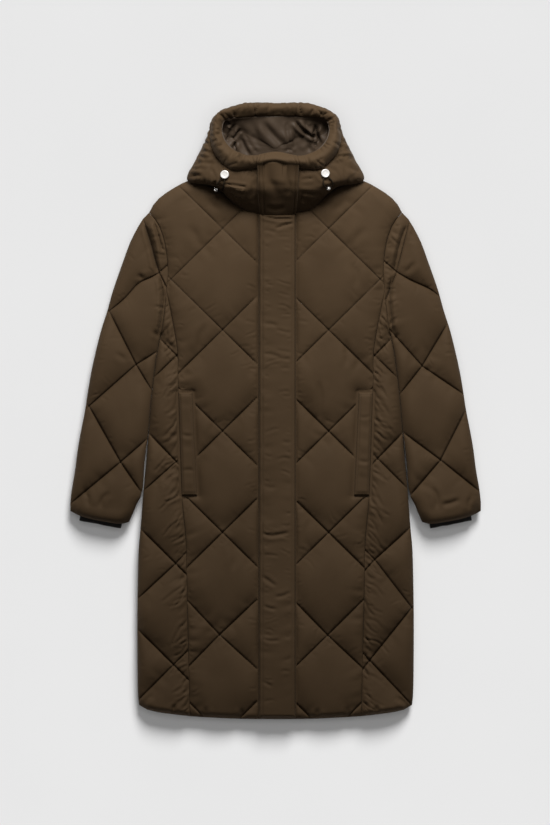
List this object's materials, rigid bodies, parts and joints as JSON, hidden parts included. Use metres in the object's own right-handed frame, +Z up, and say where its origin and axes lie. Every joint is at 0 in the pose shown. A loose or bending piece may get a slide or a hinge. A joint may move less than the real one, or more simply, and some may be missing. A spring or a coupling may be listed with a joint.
{
  "type": "long puffer coat",
  "caption": "Long hooded puffer coat with diamond quilting, a covered front placket, welt pockets and knitted inner cuffs, laid flat on its back.",
  "frame": {"origin": "on the surface that the coat lies on, under the middle of its outline", "axes": "+X across the coat towards the wearer's left sleeve, +Y from the hem to the hood, +Z up from the surface"},
  "size_m": [0.821, 1.2328, 0.1015],
  "materials": {
    "shell_fabric": "matte water-repellent nylon, dark olive brown",
    "lining_satin": "grey-brown lining satin with a soft sheen",
    "black_knit": "black rib knit",
    "stop_enamel": "pale satin enamel",
    "elastic_cord": "round braided elastic, near black",
    "ferrule_metal": "pale satin metal"
  },
  "bodies": {
    "root": {"back": "shell_fabric", "front_left": "shell_fabric", "front_right": "shell_fabric", "side_front_left": "shell_fabric", "side_front_right": "shell_fabric", "sleeve_upper_left": "shell_fabric", "sleeve_upper_right": "shell_fabric", "sleeve_under_left": "shell_fabric", "sleeve_under_right": "shell_fabric", "placket": "shell_fabric", "collar_placket": "shell_fabric", "pocket_welt_left": "shell_fabric", "pocket_welt_right": "shell_fabric", "hood_side_left": "shell_fabric", "hood_side_right": "shell_fabric", "hood_top": "shell_fabric", "hood_back": "shell_fabric", "hood_rim_left": "shell_fabric", "hood_rim_right": "shell_fabric", "hood_rim_top": "shell_fabric", "hood_lining": "lining_satin", "knit_cuff_left": "black_knit", "knit_cuff_right": "black_knit", "cord_stop_left": "stop_enamel", "cord_stop_right": "stop_enamel", "cord_loop_left": "elastic_cord", "cord_loop_right": "elastic_cord", "cord_end_left": "ferrule_metal", "cord_end_right": "ferrule_metal"}
  },
  "joints": []
}
